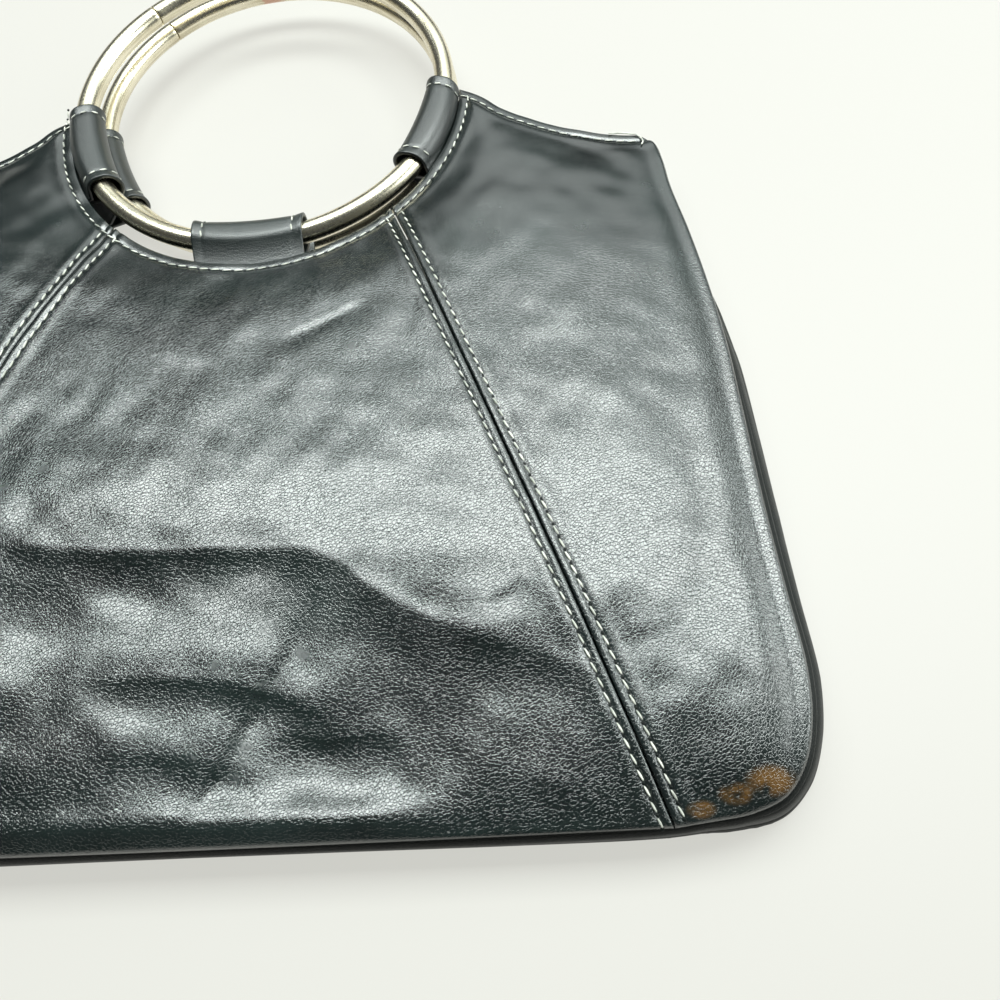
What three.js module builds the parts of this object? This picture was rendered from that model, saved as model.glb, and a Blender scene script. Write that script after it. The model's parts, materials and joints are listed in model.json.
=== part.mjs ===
// Ring handle bag: a leather hand bag with a round metal ring on each face, lying on its back.
// Units are millimetres. +Z points out of the front face, +Y towards the rings, +X to the right.
// Shapes are worked out about the centre of the front ring, seen from above, and the whole bag
// is then moved so that the origin lies under the middle of its box.

import * as THREE from 'three';
import { mergeVertices } from 'three/addons/utils/BufferGeometryUtils.js';

// Rings
const RING_RADIUS = 60;            // to the middle of the rod
const ROD_RADIUS = 3.3;
const FRONT_RING_LIFT = 2.6;       // centre of the front ring above the front's rim
const FRONT_RING_TILT = 2.9;       // degrees, far side up
const BACK_RING_PULL = 7;          // the back ring is drawn this much further out of its loops
const BACK_RING_TILT = 3.2;        // degrees, far side up

// Leather and how closely its pieces are sewn
const PANEL_THICKNESS = 1.4;
const GUSSET_THICKNESS = 1.2;
const TAB_THICKNESS = 1.1;
const SEAM_GAP = 0.3;              // between leather pieces that are sewn together
const ROD_CLEARANCE = 0.3;         // between a ring and the sleeves that it turns in

// Outline of a face
const HALF_WIDTH = 140.8;          // widest place of the front, at the lower corners
const DROP = 231;                  // ring centre to the bottom seam
const OPENING_SIDE_MARGIN = 4.5;   // from the middle of a ring's rod to the side of the hand opening
const OPENING_FOOT_MARGIN = 9;     // and to its lowest place
const PEAK_ANGLE = -0.8;           // degrees, where the hand opening meets the top edge
const SEAM_TOP_ANGLE = -48.2;      // degrees, where a slanting seam meets the hand opening
const SEAM_FOOT = 107;             // half distance between the slanting seams at the bottom
const BACK_RISE = 1.5;             // the slack back reaches this much further up than the front

// Height of the stuffed front above the table
const RIM_HEIGHT = 18;             // front panel at the sewn edge
const CROWN = 9;                   // the middle stands this much higher
const CROWN_REACH = 22;            // distance over which the front rises from its rim
const MOUTH_DROP = 8;              // the front sinks again towards the mouth
const TIP_DROP = 3;                // and at the two wing tips
const TIP_REACH = 28;

// Gusset
const FLARE = 7;                   // the flat back's rim lies outside the stuffed front's
const GUSSET_BULGE = 2.5;
const GUSSET_TUCK = 13;            // at the mouth the gusset folds in between front and back
const GUSSET_INSET = 1.4;          // the panels' edges overhang it

// Tabs, the straight leather sleeves that hold the rings
const CENTER_TAB_LENGTH = 33.5;
const SIDE_TAB_LENGTH = 33;
const FRONT_TAB_SLACK = 1.2;       // a sleeve is this much wider than its curved rod needs
const BACK_TAB_SLACK = 0.2;
const TAB_ANCHOR = 9;              // sewn under the panel
const TAB_TRIM = 1;                // the sewn end stays this far inside the top edge
const FRONT_TAB_ANGLE = -19;       // degrees below level, the right one; the left one is its mirror
const BACK_TAB_ANGLE = -24;

// Grid steps of the faceted leather
const CENTER_STEPS = 22;
const SIDE_STEPS = 12;
const PANEL_ROWS = 20;
const BACK_CENTER_STEPS = 12;
const BACK_SIDE_STEPS = 8;
const BACK_ROWS = 14;
const GUSSET_STEPS_PER_ROW = 2;
const GUSSET_SECTION_STEPS = 4;
const TAB_STEPS = 6;
const SLEEVE_ARC_STEPS = 9;
const ROD_SIDES = 10;
const RING_STEPS = 52;

const leather = new THREE.MeshStandardMaterial({ color: 0x1d2423, roughness: 0.38, metalness: 0 });
const ringMetal = new THREE.MeshStandardMaterial({ color: 0xd2c9a8, roughness: 0.22, metalness: 1 });

// Sewn edge of the front's right half, from the wing tip down the side and along the bottom.
// across: share of HALF_WIDTH. down: share of DROP. flare: share of FLARE, how far the back's
// rim lies outside. fold: -1 where the gusset is tucked in, 1 where it bulges out.
const RIM_ROWS = [
  { across: 0.862, down: 0.106, flare: -0.20, fold: -1.0 },
  { across: 0.893, down: 0.121, flare: -0.25, fold: -1.0 },
  { across: 0.905, down: 0.158, flare: -0.20, fold: -0.95 },
  { across: 0.912, down: 0.208, flare: 0.10, fold: -0.8 },
  { across: 0.932, down: 0.286, flare: 0.55, fold: -0.4 },
  { across: 0.952, down: 0.381, flare: 0.85, fold: 0.2 },
  { across: 0.966, down: 0.468, flare: 0.97, fold: 0.6 },
  { across: 0.973, down: 0.563, flare: 1.00, fold: 0.8 },
  { across: 0.979, down: 0.671, flare: 1.05, fold: 1.0 },
  { across: 0.989, down: 0.771, flare: 1.00, fold: 1.0 },
  { across: 0.999, down: 0.857, flare: 0.95, fold: 1.0 },
  { across: 0.992, down: 0.905, flare: 0.85, fold: 0.9 },
  { across: 0.971, down: 0.946, flare: 0.70, fold: 0.8 },
  { across: 0.935, down: 0.974, flare: 0.50, fold: 0.7 },
  { across: 0.882, down: 0.988, flare: 0.25, fold: 0.6 },
  { across: 0.816, down: 0.994, flare: 0.12, fold: 0.6 },
  { across: 0.760, down: 0.998, flare: 0.08, fold: 0.6 },
  { across: 0.500, down: 1.000, flare: 0.05, fold: 0.7 },
  { across: 0.250, down: 1.000, flare: 0.02, fold: 0.7 },
  { across: 0.000, down: 1.000, flare: 0.00, fold: 0.7 },
];
const CORNER_FOOT_ROW = 15;        // where the rounded lower corner runs into the bottom edge

// Top edge from the peak of the hand opening to the wing tip, in the same shares.
const TOP_EDGE_ROWS = [
  { across: 0.484, down: 0.0125 },
  { across: 0.520, down: 0.028 },
  { across: 0.550, down: 0.046 },
  { across: 0.597, down: 0.063 },
  { across: 0.641, down: 0.077 },
  { across: 0.686, down: 0.088 },
  { across: 0.732, down: 0.097 },
  { across: 0.776, down: 0.102 },
  { across: 0.821, down: 0.105 },
];

// Dents and swells of the front. across, long, wide: shares of HALF_WIDTH. down: share of DROP.
// turn: degrees. rise: share of CROWN, negative for a dent.
const DENTS = [
  { across: 0.04, down: 0.700, long: 0.30, wide: 0.055, turn: -4, rise: 0.16 },
  { across: 0.05, down: 0.765, long: 0.22, wide: 0.050, turn: -8, rise: -0.28 },
  { across: 0.20, down: 0.785, long: 0.13, wide: 0.060, turn: -20, rise: -0.24 },
  { across: 0.38, down: 0.800, long: 0.20, wide: 0.070, turn: 12, rise: -0.20 },
  { across: 0.10, down: 0.875, long: 0.15, wide: 0.055, turn: -12, rise: -0.24 },
  { across: 0.26, down: 0.910, long: 0.14, wide: 0.045, turn: 6, rise: -0.16 },
  { across: 0.18, down: 0.420, long: 0.11, wide: 0.040, turn: 27, rise: -0.12 },
  { across: 0.22, down: 0.500, long: 0.16, wide: 0.060, turn: 10, rise: -0.10 },
  { across: 0.74, down: 0.820, long: 0.12, wide: 0.040, turn: 16, rise: -0.11 },
  { across: 0.56, down: 0.920, long: 0.24, wide: 0.100, turn: 4, rise: -0.18 },
  { across: 0.72, down: 0.600, long: 0.14, wide: 0.150, turn: 0, rise: 0.14 },
  { across: 0.34, down: 0.620, long: 0.24, wide: 0.110, turn: -6, rise: 0.14 },
  { across: -0.30, down: 0.640, long: 0.26, wide: 0.090, turn: 14, rise: 0.14 },
  { across: -0.40, down: 0.780, long: 0.22, wide: 0.060, turn: -10, rise: -0.22 },
  { across: -0.22, down: 0.880, long: 0.20, wide: 0.060, turn: 8, rise: -0.20 },
  { across: -0.75, down: 0.700, long: 0.12, wide: 0.140, turn: 0, rise: 0.12 },
];

const { clamp, degToRad: radians, lerp, smoothstep } = THREE.MathUtils;
const backRimRise = (down) => BACK_RISE * (1 - smoothstep(down, 0.1, 0.9));

// The hand opening is the lower half of an oval about the centre of the ring.
const OPENING_HALF_WIDTH = RING_RADIUS + OPENING_SIDE_MARGIN;
const OPENING_DEPTH = RING_RADIUS + OPENING_FOOT_MARGIN;

// Points of the front's plan: by share, and by angle round the hand opening's oval.
const planPoint = (row) => new THREE.Vector3(row.across * HALF_WIDTH, -row.down * DROP, 0);
const openingPoint = (angle) => new THREE.Vector3(
  OPENING_HALF_WIDTH * Math.cos(radians(angle)),
  OPENING_DEPTH * Math.sin(radians(angle)),
  0,
);

const rimCurve = new THREE.CatmullRomCurve3(RIM_ROWS.map(planPoint));
const topEdgeCurve = new THREE.CatmullRomCurve3([
  openingPoint(PEAK_ANGLE), ...TOP_EDGE_ROWS.map(planPoint), planPoint(RIM_ROWS[0]),
]);
const CORNER_SHARE = CORNER_FOOT_ROW / (RIM_ROWS.length - 1);

// Value of one column of the rim table at a share of the way along it.
function rimValue(column, share) {
  const place = clamp(share, 0, 1) * (RIM_ROWS.length - 1);
  const row = Math.min(Math.floor(place), RIM_ROWS.length - 2);
  return lerp(RIM_ROWS[row][column], RIM_ROWS[row + 1][column], place - row);
}

// Outward direction of the rim, square to it and level.
function rimOutward(share) {
  const along = rimCurve.getTangent(clamp(share, 0, 1));
  return new THREE.Vector3(-along.y, along.x, 0).normalize();
}

const RIM_SAMPLES = rimCurve.getPoints(90);
const MOUTH_SAMPLES = [
  ...Array.from({ length: 30 }, (_, i) => openingPoint(-90 + (PEAK_ANGLE + 90) * i / 30)),
  ...topEdgeCurve.getPoints(20),
];

// Level distance from a place to the nearest of the sampled edge's stretches.
function distanceTo(samples, x, y) {
  let nearest = Infinity;
  for (let i = 1; i < samples.length; i += 1) {
    const start = samples[i - 1];
    const run = { x: samples[i].x - start.x, y: samples[i].y - start.y };
    const square = run.x ** 2 + run.y ** 2;
    const share = square > 0 ? ((x - start.x) * run.x + (y - start.y) * run.y) / square : 0;
    const near = clamp(share, 0, 1);
    nearest = Math.min(nearest, Math.hypot(x - start.x - near * run.x, y - start.y - near * run.y));
  }
  return nearest;
}

// Height of one dent or swell at a place.
function dentRise(dent, x, y) {
  const turn = radians(dent.turn);
  const dx = x - dent.across * HALF_WIDTH;
  const dy = y + dent.down * DROP;
  const along = (dx * Math.cos(turn) + dy * Math.sin(turn)) / (dent.long * HALF_WIDTH);
  const square = (dy * Math.cos(turn) - dx * Math.sin(turn)) / (dent.wide * HALF_WIDTH);
  return dent.rise * CROWN * Math.exp(-(along ** 2) - square ** 2);
}

// Height of the front's outer face above the table.
function frontHeight(x, y) {
  const side = Math.abs(x);
  const fullness = 1 - Math.exp(-distanceTo(RIM_SAMPLES, side, y) / CROWN_REACH);
  const nearMouth = Math.exp(-distanceTo(MOUTH_SAMPLES, side, y) / CROWN_REACH);
  const tip = planPoint(RIM_ROWS[1]);
  const nearTip = Math.exp(-((side - tip.x) ** 2 + (y - tip.y) ** 2) / (2 * TIP_REACH ** 2));
  const dents = DENTS.reduce((sum, dent) => sum + dentRise(dent, x, y), 0);
  return RIM_HEIGHT - TIP_DROP * nearTip + fullness * (CROWN - MOUTH_DROP * nearMouth + dents);
}

// A closed sheet: a thin box whose two large faces follow face(u, v, w), with w 0 on the first
// face and 1 on the second.
function sheet(name, face, stepsU, stepsV) {
  const geometry = new THREE.BoxGeometry(1, 1, 1, stepsU, stepsV, 1);
  const position = geometry.attributes.position;
  for (let i = 0; i < position.count; i += 1) {
    const point = face(position.getX(i) + 0.5, position.getY(i) + 0.5, 0.5 - position.getZ(i));
    position.setXYZ(i, point.x, point.y, point.z);
  }
  geometry.deleteAttribute('normal');
  geometry.deleteAttribute('uv');
  const merged = mergeVertices(geometry, 1e-4);
  merged.computeVertexNormals();
  const mesh = new THREE.Mesh(merged, leather);
  mesh.name = name;
  return mesh;
}

// A panel's wall: plan(u, v) gives the place and height(x, y) the outer face, and the wall's
// other face lies one thickness behind it, square to the outer one.
function wallFace(plan, height, thickness) {
  const step = 0.5;
  return (u, v, w) => {
    const place = plan(u, v);
    const slopeX = (height(place.x + step, place.y) - height(place.x - step, place.y)) / (2 * step);
    const slopeY = (height(place.x, place.y + step) - height(place.x, place.y - step)) / (2 * step);
    const normal = new THREE.Vector3(-slopeX, -slopeY, 1).normalize();
    const outer = new THREE.Vector3(place.x, place.y, height(place.x, place.y));
    return outer.addScaledVector(normal, -thickness * w);
  };
}

// Slanting seam at a share of the way from the bottom to the hand opening, moved sideways.
function seamPoint(share, aside) {
  const foot = new THREE.Vector3(SEAM_FOOT + aside, -rimDropAtSeam(), 0);
  return foot.lerp(openingPoint(SEAM_TOP_ANGLE).add(new THREE.Vector3(aside, 0, 0)), share);
}

// Drop of the bottom edge where the slanting seam meets it.
function rimDropAtSeam() {
  const nearest = RIM_SAMPLES.filter((point) => point.y < -DROP / 2)
    .reduce((best, point) => (Math.abs(point.x - SEAM_FOOT) < Math.abs(best.x - SEAM_FOOT) ? point : best));
  return -nearest.y;
}

// Plan of the panel between the slanting seams: u across, v from the bottom up.
function centerPlan(u, v) {
  const side = 2 * u - 1;
  const halfGap = SEAM_GAP * 0.6;
  const angle = -90 + side * (SEAM_TOP_ANGLE + 90);
  const foot = new THREE.Vector3(side * SEAM_FOOT, 0, 0);
  foot.y = lerp(-DROP, -rimDropAtSeam(), side ** 2);
  return foot.lerp(openingPoint(angle), v).add(new THREE.Vector3(-side * halfGap, 0, 0));
}

// Plan of the right side panel, blended between its four edges: u from the slanting seam to the
// outer edge, v from the bottom up.
function sidePlan(u, v) {
  const inner = (share) => seamPoint(share, SEAM_GAP * 0.6);
  const outer = (share) => rimCurve.getPoint(CORNER_SHARE * (1 - share));
  const bottom = (share) => inner(0).lerp(outer(0), share);
  const top = (share) => {
    if (share < 0.5) {
      const angle = lerp(SEAM_TOP_ANGLE, PEAK_ANGLE, 2 * share);
      return openingPoint(angle).add(new THREE.Vector3(SEAM_GAP * 0.6 * (1 - 2 * share), 0, 0));
    }
    return topEdgeCurve.getPoint(2 * share - 1);
  };
  const point = inner(v).multiplyScalar(1 - u).addScaledVector(outer(v), u);
  point.addScaledVector(bottom(u), 1 - v).addScaledVector(top(u), v);
  point.addScaledVector(inner(0), -(1 - u) * (1 - v)).addScaledVector(outer(0), -u * (1 - v));
  return point.addScaledVector(inner(1), -(1 - u) * v).addScaledVector(outer(1), -u * v);
}

// The back is cut from the same pattern, lies flat, and its rim lies further out.
function backPlan(plan) {
  return (u, v) => {
    const point = plan(u, v);
    const down = -point.y / DROP;
    const share = nearestRimShare(Math.abs(point.x), point.y);
    const reach = Math.exp(-distanceTo(RIM_SAMPLES, Math.abs(point.x), point.y) / CROWN_REACH);
    const out = rimOutward(share).multiplyScalar((rimValue('flare', share) * FLARE + SEAM_GAP) * reach);
    point.x += Math.sign(point.x) * out.x;
    point.y += out.y + backRimRise(down);
    return point;
  };
}

// Share of the way along the rim of the sample nearest to a place.
function nearestRimShare(x, y) {
  let best = 0;
  RIM_SAMPLES.forEach((sample, i) => {
    const held = RIM_SAMPLES[best];
    if (Math.hypot(sample.x - x, sample.y - y) < Math.hypot(held.x - x, held.y - y)) best = i;
  });
  return best / (RIM_SAMPLES.length - 1);
}

// Mirrors a sheet's face to the left, and swaps u so that it still faces outwards.
const mirrored = (face) => (u, v, w) => {
  const point = face(1 - u, v, w);
  point.x *= -1;
  return point;
};

// The front faces up, so its left half is not a mirror: the dents differ.
const leftPlan = (plan) => (u, v) => {
  const point = plan(1 - u, v);
  point.x *= -1;
  return point;
};

function frontPanels() {
  const wall = (plan) => wallFace(plan, frontHeight, PANEL_THICKNESS);
  return [
    sheet('front_center_panel', wall(centerPlan), CENTER_STEPS, PANEL_ROWS),
    sheet('front_side_panel_right', wall(sidePlan), SIDE_STEPS, PANEL_ROWS),
    sheet('front_side_panel_left', wall(leftPlan(sidePlan)), SIDE_STEPS, PANEL_ROWS),
  ];
}

function backPanels() {
  const wall = (plan) => wallFace(backPlan(plan), () => PANEL_THICKNESS, PANEL_THICKNESS);
  const right = wall(sidePlan);
  return [
    sheet('back_center_panel', wall(centerPlan), BACK_CENTER_STEPS, BACK_ROWS),
    sheet('back_side_panel_right', right, BACK_SIDE_STEPS, BACK_ROWS),
    sheet('back_side_panel_left', mirrored(right), BACK_SIDE_STEPS, BACK_ROWS),
  ];
}

// Middle line of the gusset's section at a share of the way along the rim: from under the
// front panel to the back panel, folded in or bulging out between them.
function gussetSection(share) {
  const rim = rimCurve.getPoint(share);
  const outward = rimOutward(share);
  const flare = rimValue('flare', share) * FLARE;
  const fold = rimValue('fold', share);
  const lean = fold > 0 ? fold * GUSSET_BULGE : fold * GUSSET_TUCK;
  const halfLevel = Math.abs(lean) > GUSSET_THICKNESS ? GUSSET_THICKNESS / 2 : GUSSET_THICKNESS / 3;
  const top = frontHeight(rim.x, rim.y) - PANEL_THICKNESS - SEAM_GAP - halfLevel;
  const foot = PANEL_THICKNESS + SEAM_GAP + halfLevel;
  const rise = backRimRise(rimValue('down', share));
  const start = rim.clone().addScaledVector(outward, -GUSSET_INSET).setZ(top);
  const end = rim.clone().addScaledVector(outward, flare - GUSSET_INSET).setZ(foot);
  end.y += rise;
  const middle = start.clone().lerp(end, 0.5).addScaledVector(outward, 2 * lean);
  return new THREE.QuadraticBezierCurve3(start, middle, end);
}

// u runs along the rim from the right wing tip, round the bottom, to the left one.
function gusset() {
  const face = (u, v, w) => {
    const right = u <= 0.5;
    const share = right ? 2 * u : 2 - 2 * u;
    const section = gussetSection(share);
    const outward = rimOutward(share);
    const along = section.getTangent(v);
    const level = along.dot(outward);
    const normal = new THREE.Vector3(0, 0, level).addScaledVector(outward, -along.z).normalize();
    const point = section.getPoint(v).addScaledVector(normal, GUSSET_THICKNESS * (0.5 - w));
    if (!right) point.x *= -1;
    return point;
  };
  const steps = 2 * GUSSET_STEPS_PER_ROW * (RIM_ROWS.length - 1);
  return sheet('gusset', face, steps, GUSSET_SECTION_STEPS);
}

// Sizes of a sleeve's section.
const WRAP_RADIUS = ROD_RADIUS + ROD_CLEARANCE + TAB_THICKNESS / 2;
const SLEEVE_OUTSIDE = WRAP_RADIUS + TAB_THICKNESS / 2;
const BEND_INSET = TAB_THICKNESS / 2 + SEAM_GAP;

// The back ring's near side lies just above the table in its centre sleeve, and the side sleeves
// hold its far side up.
const BACK_RING_NEAR_HEIGHT = SLEEVE_OUTSIDE + SEAM_GAP;
const BACK_RING_HEIGHT = BACK_RING_NEAR_HEIGHT + RING_RADIUS * Math.sin(radians(BACK_RING_TILT));

// A ring's place: its centre, the tilt of its plane with the far side up, and how far up the hand
// opening that it lies in has moved.
const FRONT_RING = {
  centre: new THREE.Vector3(0, 0, RIM_HEIGHT + FRONT_RING_LIFT),
  tilt: radians(FRONT_RING_TILT),
  openingRise: 0,
};
const BACK_RING = {
  centre: new THREE.Vector3(0, BACK_RISE + BACK_RING_PULL, BACK_RING_HEIGHT),
  tilt: radians(BACK_RING_TILT),
  openingRise: backRimRise(OPENING_DEPTH / DROP),
};

function ring(name, seat) {
  const torus = new THREE.TorusGeometry(RING_RADIUS, ROD_RADIUS, ROD_SIDES, RING_STEPS);
  torus.deleteAttribute('normal');
  torus.deleteAttribute('uv');
  const geometry = mergeVertices(torus, 1e-4);
  geometry.computeVertexNormals();
  const mesh = new THREE.Mesh(geometry, ringMetal);
  mesh.name = name;
  mesh.position.copy(seat.centre);
  mesh.rotation.x = seat.tilt;
  return mesh;
}

// One station of a sleeve, along its straight length from its middle: where the rod passes, where
// the sleeve's inner side lies, and where the edge of the hand opening is, all measured outwards
// from the ring's centre, and the length of the sewn end.
function sleeveStation(tab, along) {
  const { seat, angle } = tab;
  const outward = new THREE.Vector2(Math.cos(angle), Math.sin(angle));
  const onRing = angle + Math.asin(along / RING_RADIUS);
  const onPlan = new THREE.Vector2(Math.cos(onRing), Math.sin(onRing) * Math.cos(seat.tilt));
  const start = new THREE.Vector2(-outward.y, outward.x).multiplyScalar(along);

  // Edge of the opening: the place on the ray whose shares of the oval's half axes make one.
  const shareStart = new THREE.Vector2(
    start.x / OPENING_HALF_WIDTH,
    (start.y + seat.centre.y - seat.openingRise) / OPENING_DEPTH,
  );
  const shareRun = new THREE.Vector2(outward.x / OPENING_HALF_WIDTH, outward.y / OPENING_DEPTH);
  const cross = shareStart.dot(shareRun);
  const square = shareRun.lengthSq();
  const edge = (Math.sqrt(cross ** 2 + square * (1 - shareStart.lengthSq())) - cross) / square;
  const onOval = shareStart.addScaledVector(shareRun, edge);
  const fromPeak = OPENING_DEPTH * (radians(PEAK_ANGLE) - Math.atan2(onOval.y, Math.abs(onOval.x)));

  return {
    start,
    outward,
    rod: RING_RADIUS * onPlan.dot(outward),
    inner: Math.sqrt(RING_RADIUS ** 2 - (tab.length / 2) ** 2) - tab.slack,
    up: seat.centre.z + RING_RADIUS * Math.sin(onRing) * Math.sin(seat.tilt),
    edge,
    anchor: clamp(fromPeak - TAB_TRIM, TAB_TRIM / 2, TAB_ANCHOR),
  };
}

// Place on the flattened round of a sleeve's middle line, by angle: 0 is outwards, 90 degrees up.
function sleevePoint(station, turn) {
  const inward = smoothstep(turn, radians(75), radians(105)) - smoothstep(turn, radians(255), radians(285));
  return {
    out: lerp(station.rod, station.inner, inward) + WRAP_RADIUS * Math.cos(turn),
    up: station.up + WRAP_RADIUS * Math.sin(turn),
  };
}

// Middle line of a sleeve's section: out of the seam, round the rod and back into the seam.
function sleeveSection(station, seamHeights) {
  const bend = station.edge - BEND_INSET;
  const leanTo = (height, side) => {
    const out = bend - station.rod;
    const up = height - station.up;
    const reach = Math.acos(Math.min(1, WRAP_RADIUS / Math.hypot(out, up)));
    return Math.atan2(up, out) + side * reach;
  };
  const first = leanTo(seamHeights.upper, 1);
  const last = leanTo(seamHeights.lower, -1) + 2 * Math.PI;
  const sewn = station.edge + station.anchor;
  const points = [{ out: sewn, up: seamHeights.upper }, { out: bend, up: seamHeights.upper }];
  for (let i = 0; i <= SLEEVE_ARC_STEPS; i += 1) {
    points.push(sleevePoint(station, lerp(first, last, i / SLEEVE_ARC_STEPS)));
  }
  points.push({ out: bend, up: seamHeights.lower }, { out: sewn, up: seamHeights.lower });
  return points;
}

function sleeve(name, tab) {
  const face = (u, v, w) => {
    const station = sleeveStation(tab, (u - 0.5) * tab.length);
    const points = sleeveSection(station, tab.seamHeights(tab.seat, station));
    const index = Math.round(v * (points.length - 1));
    const before = points[Math.max(index - 1, 0)];
    const after = points[Math.min(index + 1, points.length - 1)];
    const run = Math.hypot(after.out - before.out, after.up - before.up);
    const aside = TAB_THICKNESS * (0.5 - w);
    const out = points[index].out + aside * (after.up - before.up) / run;
    const up = points[index].up - aside * (after.out - before.out) / run;
    return new THREE.Vector3(
      tab.seat.centre.x + station.start.x + out * station.outward.x,
      tab.seat.centre.y + station.start.y + out * station.outward.y,
      up,
    );
  };
  return sheet(name, face, TAB_STEPS, SLEEVE_ARC_STEPS + 4);
}

// A front tab's two ends lie one behind the other under the front panel's edge.
function frontSeamHeights(seat, station) {
  const edge = station.start.clone().addScaledVector(station.outward, station.edge);
  const outer = frontHeight(seat.centre.x + edge.x, seat.centre.y + edge.y);
  const upper = outer - PANEL_THICKNESS - SEAM_GAP - TAB_THICKNESS / 2;
  return { upper, lower: upper - TAB_THICKNESS - SEAM_GAP };
}

// A back tab's two ends lie on the inner face of the flat back panel.
function backSeamHeights() {
  const lower = PANEL_THICKNESS + SEAM_GAP + TAB_THICKNESS / 2;
  return { upper: lower + TAB_THICKNESS + SEAM_GAP, lower };
}

// The three tabs of a face: centre, right, and left as the right one's mirror.
function tabs(face, cut) {
  const center = { ...cut, length: CENTER_TAB_LENGTH, angle: -Math.PI / 2 };
  const right = { ...cut, length: SIDE_TAB_LENGTH, angle: radians(cut.sideAngle) };
  const left = { ...right, angle: -Math.PI - right.angle };
  return [
    sleeve(`${face}_tab_center`, center),
    sleeve(`${face}_tab_right`, right),
    sleeve(`${face}_tab_left`, left),
  ];
}

const FRONT_TABS = {
  seat: FRONT_RING,
  sideAngle: FRONT_TAB_ANGLE,
  slack: FRONT_TAB_SLACK,
  seamHeights: frontSeamHeights,
};
const BACK_TABS = {
  seat: BACK_RING,
  sideAngle: BACK_TAB_ANGLE,
  slack: BACK_TAB_SLACK,
  seamHeights: backSeamHeights,
};

const bag = new THREE.Group();
bag.add(...frontPanels(), ...backPanels(), gusset());
bag.add(...tabs('front', FRONT_TABS), ...tabs('back', BACK_TABS));
bag.add(ring('front_ring', FRONT_RING), ring('back_ring', BACK_RING));
bag.updateMatrixWorld(true);
const box = new THREE.Box3().setFromObject(bag, true);
bag.position.set(0, -(box.min.y + box.max.y) / 2, -box.min.z);
bag.updateMatrixWorld(true);

export default bag;
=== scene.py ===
"""Looks of the ring handle bag: leather panels, gusset, ring sleeves, stitching and metal rings.

The bag lies on its back. Every size is in metres, in the frame's own axes: +Z points out of the
front face, +Y towards the rings and +X to the right. Plans are worked out about the middle of the
front ring and then moved to the ring's place in the frame.
"""

from __future__ import annotations

import json
import logging
import math
from dataclasses import dataclass, field
from enum import Enum
from typing import Callable, ClassVar, Sequence

import bmesh
import bpy
import numpy as np
from mathutils import Matrix, Vector


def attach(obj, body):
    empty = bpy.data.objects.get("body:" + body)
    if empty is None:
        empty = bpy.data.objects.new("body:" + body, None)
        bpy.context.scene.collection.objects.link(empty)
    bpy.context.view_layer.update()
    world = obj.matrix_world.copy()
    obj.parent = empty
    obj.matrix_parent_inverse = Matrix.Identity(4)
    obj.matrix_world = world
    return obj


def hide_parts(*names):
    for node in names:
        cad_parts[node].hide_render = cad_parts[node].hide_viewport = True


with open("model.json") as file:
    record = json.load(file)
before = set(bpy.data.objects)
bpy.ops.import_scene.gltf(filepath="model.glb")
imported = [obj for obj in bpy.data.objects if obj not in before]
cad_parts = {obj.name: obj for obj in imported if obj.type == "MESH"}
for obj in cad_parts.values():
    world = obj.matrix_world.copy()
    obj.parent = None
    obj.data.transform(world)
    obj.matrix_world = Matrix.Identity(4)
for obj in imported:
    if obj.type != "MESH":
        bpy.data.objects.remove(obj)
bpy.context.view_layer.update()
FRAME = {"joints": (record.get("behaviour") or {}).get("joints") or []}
LOG = logging.getLogger("bag")
MM = 0.001
Array = np.ndarray
PlanMap = Callable[[Array, Array], tuple[Array, Array]]


class Slot(Enum):
    """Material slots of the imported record."""

    LEATHER = "leather"
    METAL = "ring_metal"
    THREAD = "thread"


class Side(Enum):
    """The half of the bag that a piece belongs to, with the sign of its x."""

    RIGHT = 1
    LEFT = -1


def joint_of(name: str) -> dict:
    """Finds a joint of the frame by its name."""
    return next(joint for joint in FRAME["joints"] if joint["name"] == name)


def smooth_ramp(value: Array, start: float, end: float) -> Array:
    """Rises smoothly from 0 at start to 1 at end."""
    share = np.clip((value - start) / (end - start), 0.0, 1.0)
    return share * share * (3.0 - 2.0 * share)


def polyline_distance(x: Array, y: Array, line: Array) -> Array:
    """Measures how far places lie from a line in plan.

    Args:
        x: Places across.
        y: Places up.
        line: Points of the line, one row each.

    Returns:
        The level distance of each place to its nearest stretch of the line.
    """
    nearest = np.full(x.shape, np.inf)
    for start, end in zip(line[:-1], line[1:]):
        run = end - start
        square = max(float(run @ run), 1e-12)
        share = np.clip(((x - start[0]) * run[0] + (y - start[1]) * run[1]) / square, 0.0, 1.0)
        gap = np.hypot(x - start[0] - share * run[0], y - start[1] - share * run[1])
        nearest = np.minimum(nearest, gap)
    return nearest


def smooth_distance(x: Array, y: Array, line: Array) -> Array:
    """Measures the distance to a line in plan without a ridge where two stretches are equally near.

    Args:
        x: Places across.
        y: Places up.
        line: Close points of the line, one row each.

    Returns:
        The distance, true beside the line and a little short in its corners.
    """
    exact = polyline_distance(x, y, line)
    runs = np.linalg.norm(np.diff(line, axis=0), axis=1)
    middles = (line[1:] + line[:-1]) / 2
    total = np.zeros(x.shape)
    for middle, run in zip(middles, runs):
        square = (x - middle[0]) ** 2 + (y - middle[1]) ** 2 + (0.3 * run) ** 2
        total += run / square**3
    soft = (3 * math.pi / 8 / total) ** 0.2
    return exact + (soft - exact) * smooth_ramp(exact, 3 * MM, 9 * MM)


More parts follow.
